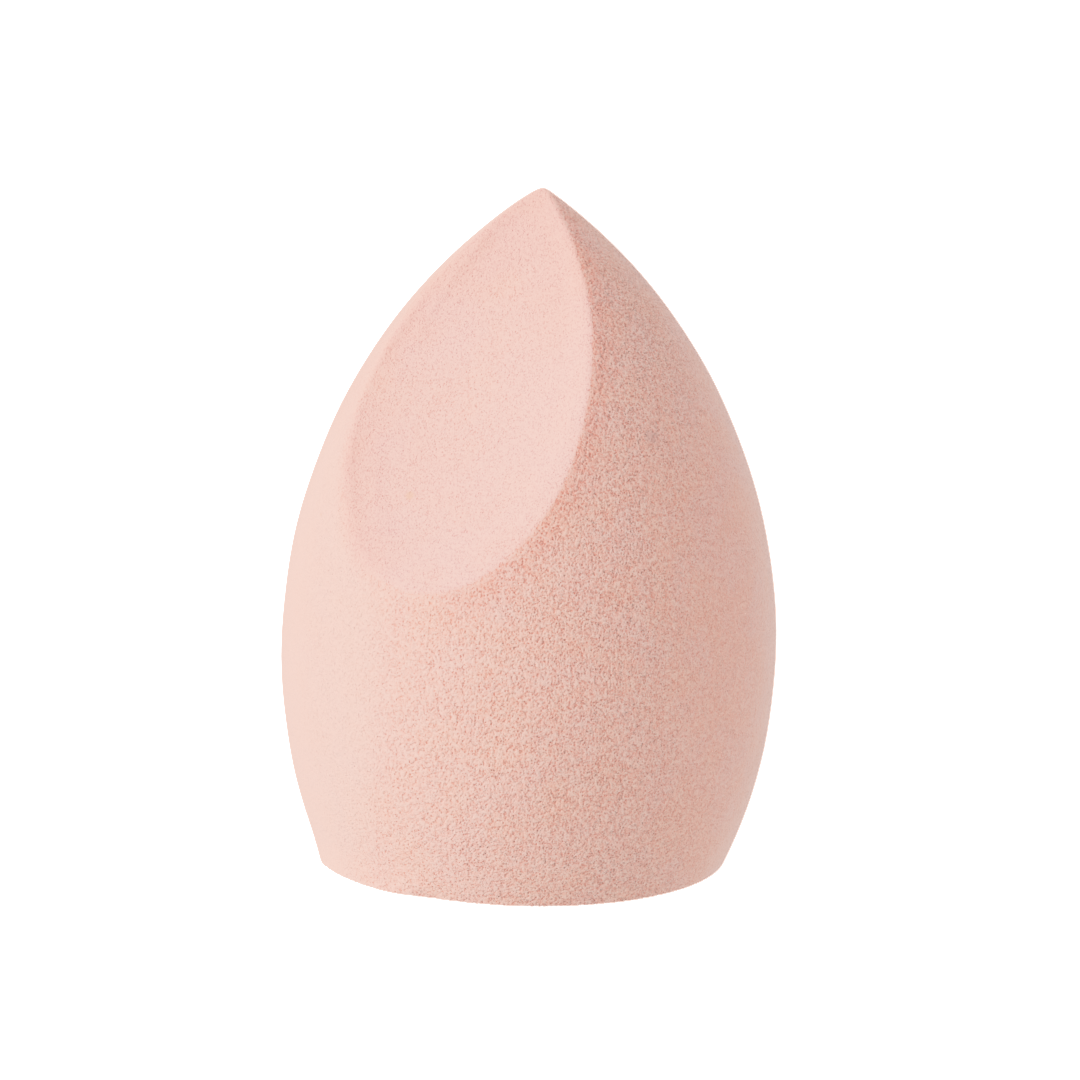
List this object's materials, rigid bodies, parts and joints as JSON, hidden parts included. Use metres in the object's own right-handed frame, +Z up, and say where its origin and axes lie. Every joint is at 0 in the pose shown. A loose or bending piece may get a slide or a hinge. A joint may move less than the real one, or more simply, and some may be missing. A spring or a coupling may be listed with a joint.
{
  "type": "makeup sponge",
  "caption": "Drop-shaped foam sponge for blending make-up, round about its axis, with a flat base to stand on and a flat slanted face that runs up to the tip.",
  "frame": {"origin": "centre of the flat base", "axes": "+Z up along the drop's axis from the base to the tip, -Y towards the side that the slanted face looks to, X across the slanted face"},
  "size_m": [0.0434, 0.0434, 0.06],
  "materials": {
    "pink_foam": "matt, fine open-cell polyurethane foam, latex-free"
  },
  "bodies": {
    "root": {"foam_body": "pink_foam"}
  },
  "joints": []
}
